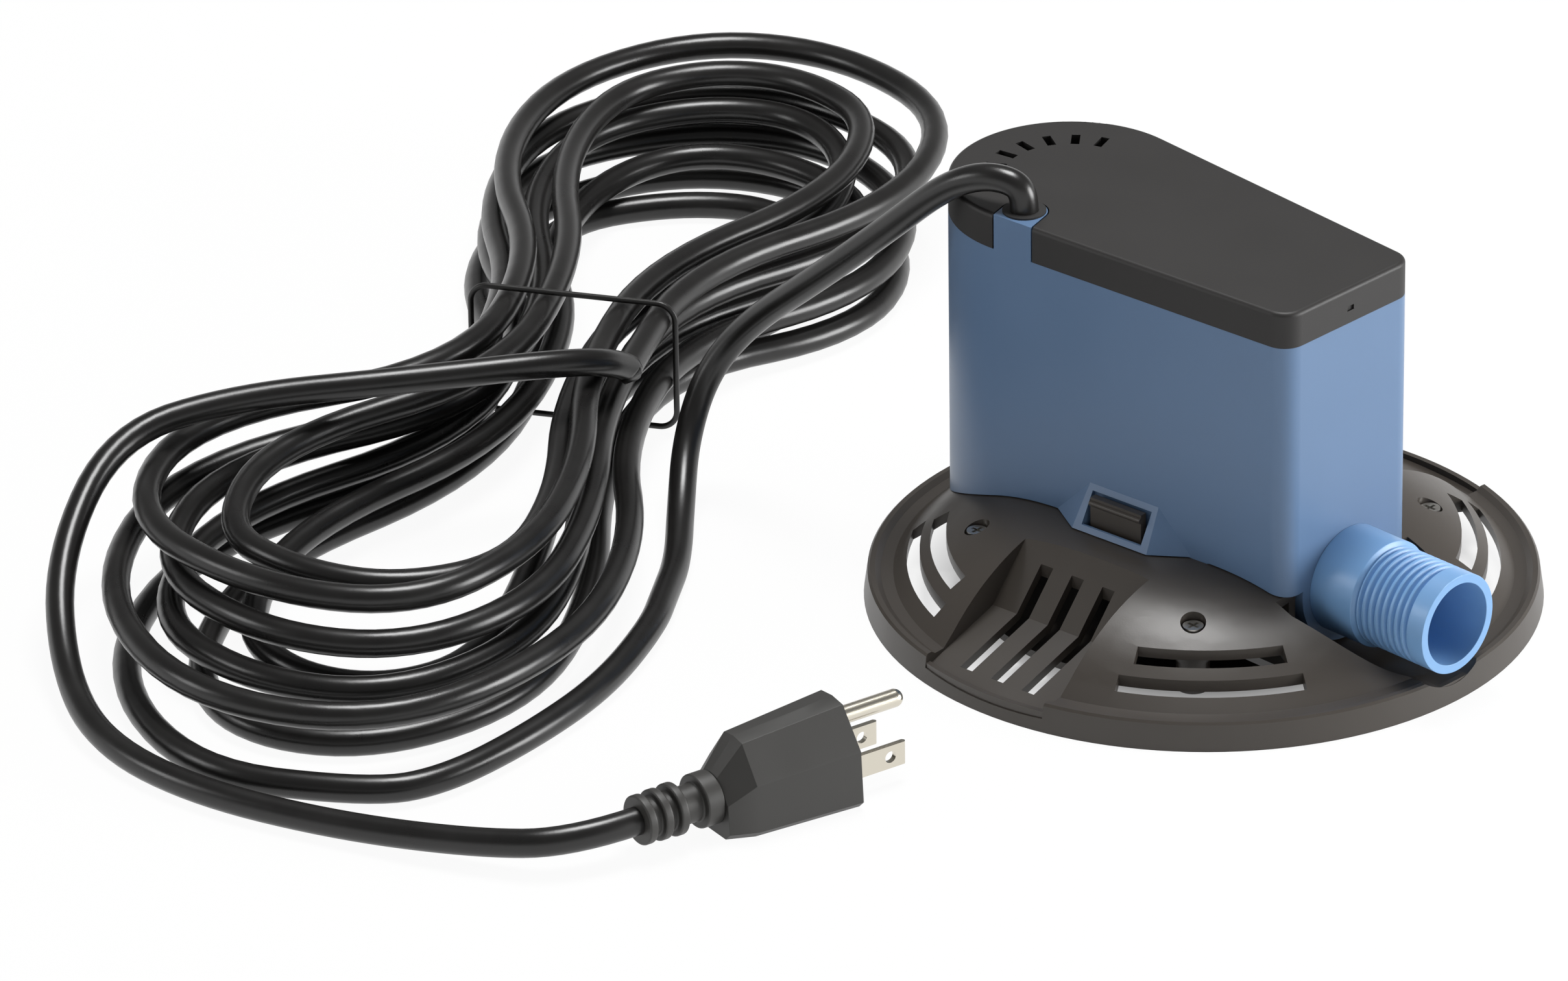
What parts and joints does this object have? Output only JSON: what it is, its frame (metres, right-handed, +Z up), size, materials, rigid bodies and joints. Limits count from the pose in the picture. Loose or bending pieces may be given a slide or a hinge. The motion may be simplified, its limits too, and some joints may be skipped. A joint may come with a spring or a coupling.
{
  "type": "submersible sump pump",
  "caption": "Submersible pump with a tapered motor housing clipped on a domed strainer base, a threaded hose outlet at its foot, and a hanked power cord with a grounded plug.",
  "frame": {"origin": "centre of the round base on the surface that it stands on, measured without the cord", "axes": "+Z up; +X along the housing from its round end to its square end and out of the outlet; -Y is the side where the cord comes down"},
  "size_m": [0.3874, 0.3856, 0.1162],
  "materials": {
    "base_plastic": "moulded black, fine satin",
    "housing_plastic": "moulded blue, satin",
    "outlet_plastic": "moulded lighter blue, satin",
    "lid_plastic": "moulded black, fine satin",
    "inner_plastic": "moulded grey",
    "cord_rubber": "black cord jacket, satin",
    "plug_rubber": "moulded dark grey",
    "seal_rubber": "black, matt",
    "blade_metal": "nickel-plated",
    "screw_steel": "stainless",
    "shaft_steel": "ground",
    "stack_steel": "pressed laminations",
    "rotor_aluminium": "cast",
    "winding_copper": "enamelled copper wire",
    "shading_copper": "bare copper",
    "bush_bronze": "sintered bronze",
    "bobbin_plastic": "moulded off-white",
    "splice_plastic": "nylon closed-end caps",
    "tie_plastic": "plastic-covered wire"
  },
  "bodies": {
    "base": {"strainer_base": "base_plastic", "suction_plate": "base_plastic", "base_screws": "screw_steel", "floor_cord": "cord_rubber", "cord_hank": "cord_rubber", "cord_tie": "tie_plastic", "plug_tail": "cord_rubber", "plug_body": "plug_rubber", "plug_relief": "plug_rubber", "plug_blade_line": "blade_metal", "plug_blade_neutral": "blade_metal", "plug_ground_pin": "blade_metal"},
    "pump_unit": {"motor_housing": "housing_plastic", "discharge_spigot": "outlet_plastic", "volute_body": "housing_plastic", "volute_cover": "inner_plastic", "volute_o_ring": "seal_rubber", "volute_screws": "screw_steel", "stator_core": "stack_steel", "shading_rings": "shading_copper", "coil_bobbin": "bobbin_plastic", "stator_coil": "winding_copper", "shaft_seal": "seal_rubber", "lower_bush": "bush_bronze", "upper_bush": "bush_bronze", "bearing_bracket": "rotor_aluminium", "stack_bolts": "screw_steel", "thermal_cut_out": "inner_plastic", "wire_splices": "splice_plastic", "motor_cover_gasket": "seal_rubber", "motor_cover": "inner_plastic", "motor_cover_screws": "screw_steel", "lid": "lid_plastic", "cord_bushing": "seal_rubber", "cord_inner_end": "cord_rubber", "power_cord": "cord_rubber"},
    "rotor": {"motor_shaft": "shaft_steel", "rotor_core": "stack_steel", "rotor_end_rings": "rotor_aluminium", "rotor_spacers": "inner_plastic", "impeller": "inner_plastic", "impeller_nut": "screw_steel"}
  },
  "joints": [
    {"name": "pump_unit_lift", "type": "slide", "parent": "base", "child": "pump_unit", "axis": [0, 0, 1], "range_m": [0, 0.04]},
    {"name": "rotor_spin", "type": "hinge", "parent": "pump_unit", "child": "rotor", "pos_m": [0, 0, 0.05], "axis": [0, 0, 1], "continuous": true}
  ]
}
